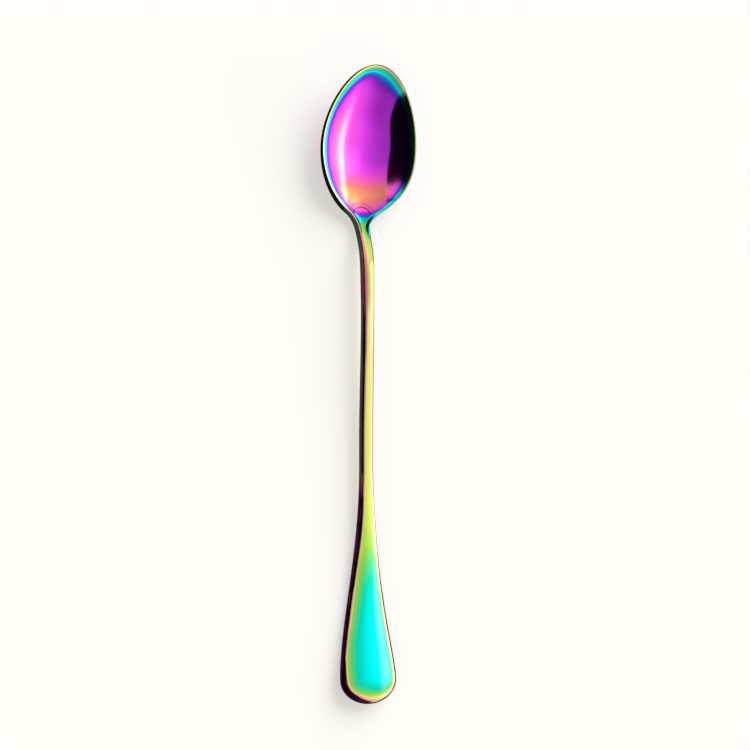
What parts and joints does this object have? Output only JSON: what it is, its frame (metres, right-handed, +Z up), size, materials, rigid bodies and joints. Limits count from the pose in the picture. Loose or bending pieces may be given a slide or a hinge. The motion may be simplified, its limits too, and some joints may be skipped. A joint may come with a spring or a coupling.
{
  "type": "spoon",
  "caption": "Slim long-handled spoon with a pointed oval bowl, a bent neck, a thin crowned stem and a flared, rounded handle.",
  "frame": {"origin": "on the table plane, under the middle of the spoon's box, with the spoon lying face up", "axes": "+Y from the end of the handle to the tip of the bowl, +Z up out of the bowl, +X to the right"},
  "size_m": [0.032, 0.193, 0.0133],
  "materials": {
    "bowl_coating": "polished",
    "neck_coating": "polished",
    "stem_coating": "polished",
    "handle_coating": "polished"
  },
  "bodies": {
    "root": {"bowl": "bowl_coating", "neck": "neck_coating", "stem": "stem_coating", "handle": "handle_coating"}
  },
  "joints": []
}
